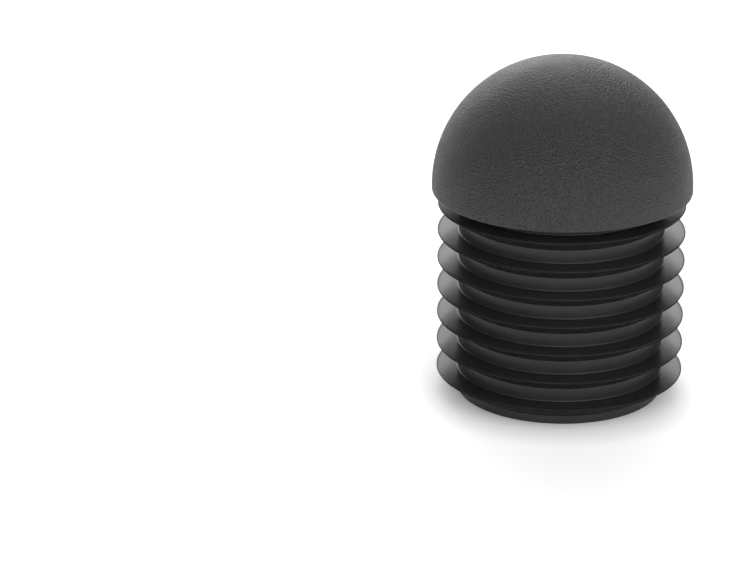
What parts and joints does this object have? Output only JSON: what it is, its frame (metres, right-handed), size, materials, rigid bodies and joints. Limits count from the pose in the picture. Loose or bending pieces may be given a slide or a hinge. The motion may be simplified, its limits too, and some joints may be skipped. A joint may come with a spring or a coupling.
{
  "type": "tube end cap",
  "caption": "Domed end cap for a round tube, with a hollow stem whose thin flexible fins grip the inside of the tube.",
  "frame": {"origin": "centre of the open mouth, in the plane of its rim, on which the cap stands", "axes": "+Z along the cap's axis from the mouth to the top of the dome; the cap is round, so X and Y are free"},
  "size_m": [0.025, 0.025, 0.0333],
  "materials": {
    "black_plastic": "black flexible plastic, fine matte grain on the dome, smooth and slightly glossy on the stem, fins thin enough to let light through"
  },
  "bodies": {
    "root": {"end_cap": "black_plastic"}
  },
  "joints": []
}
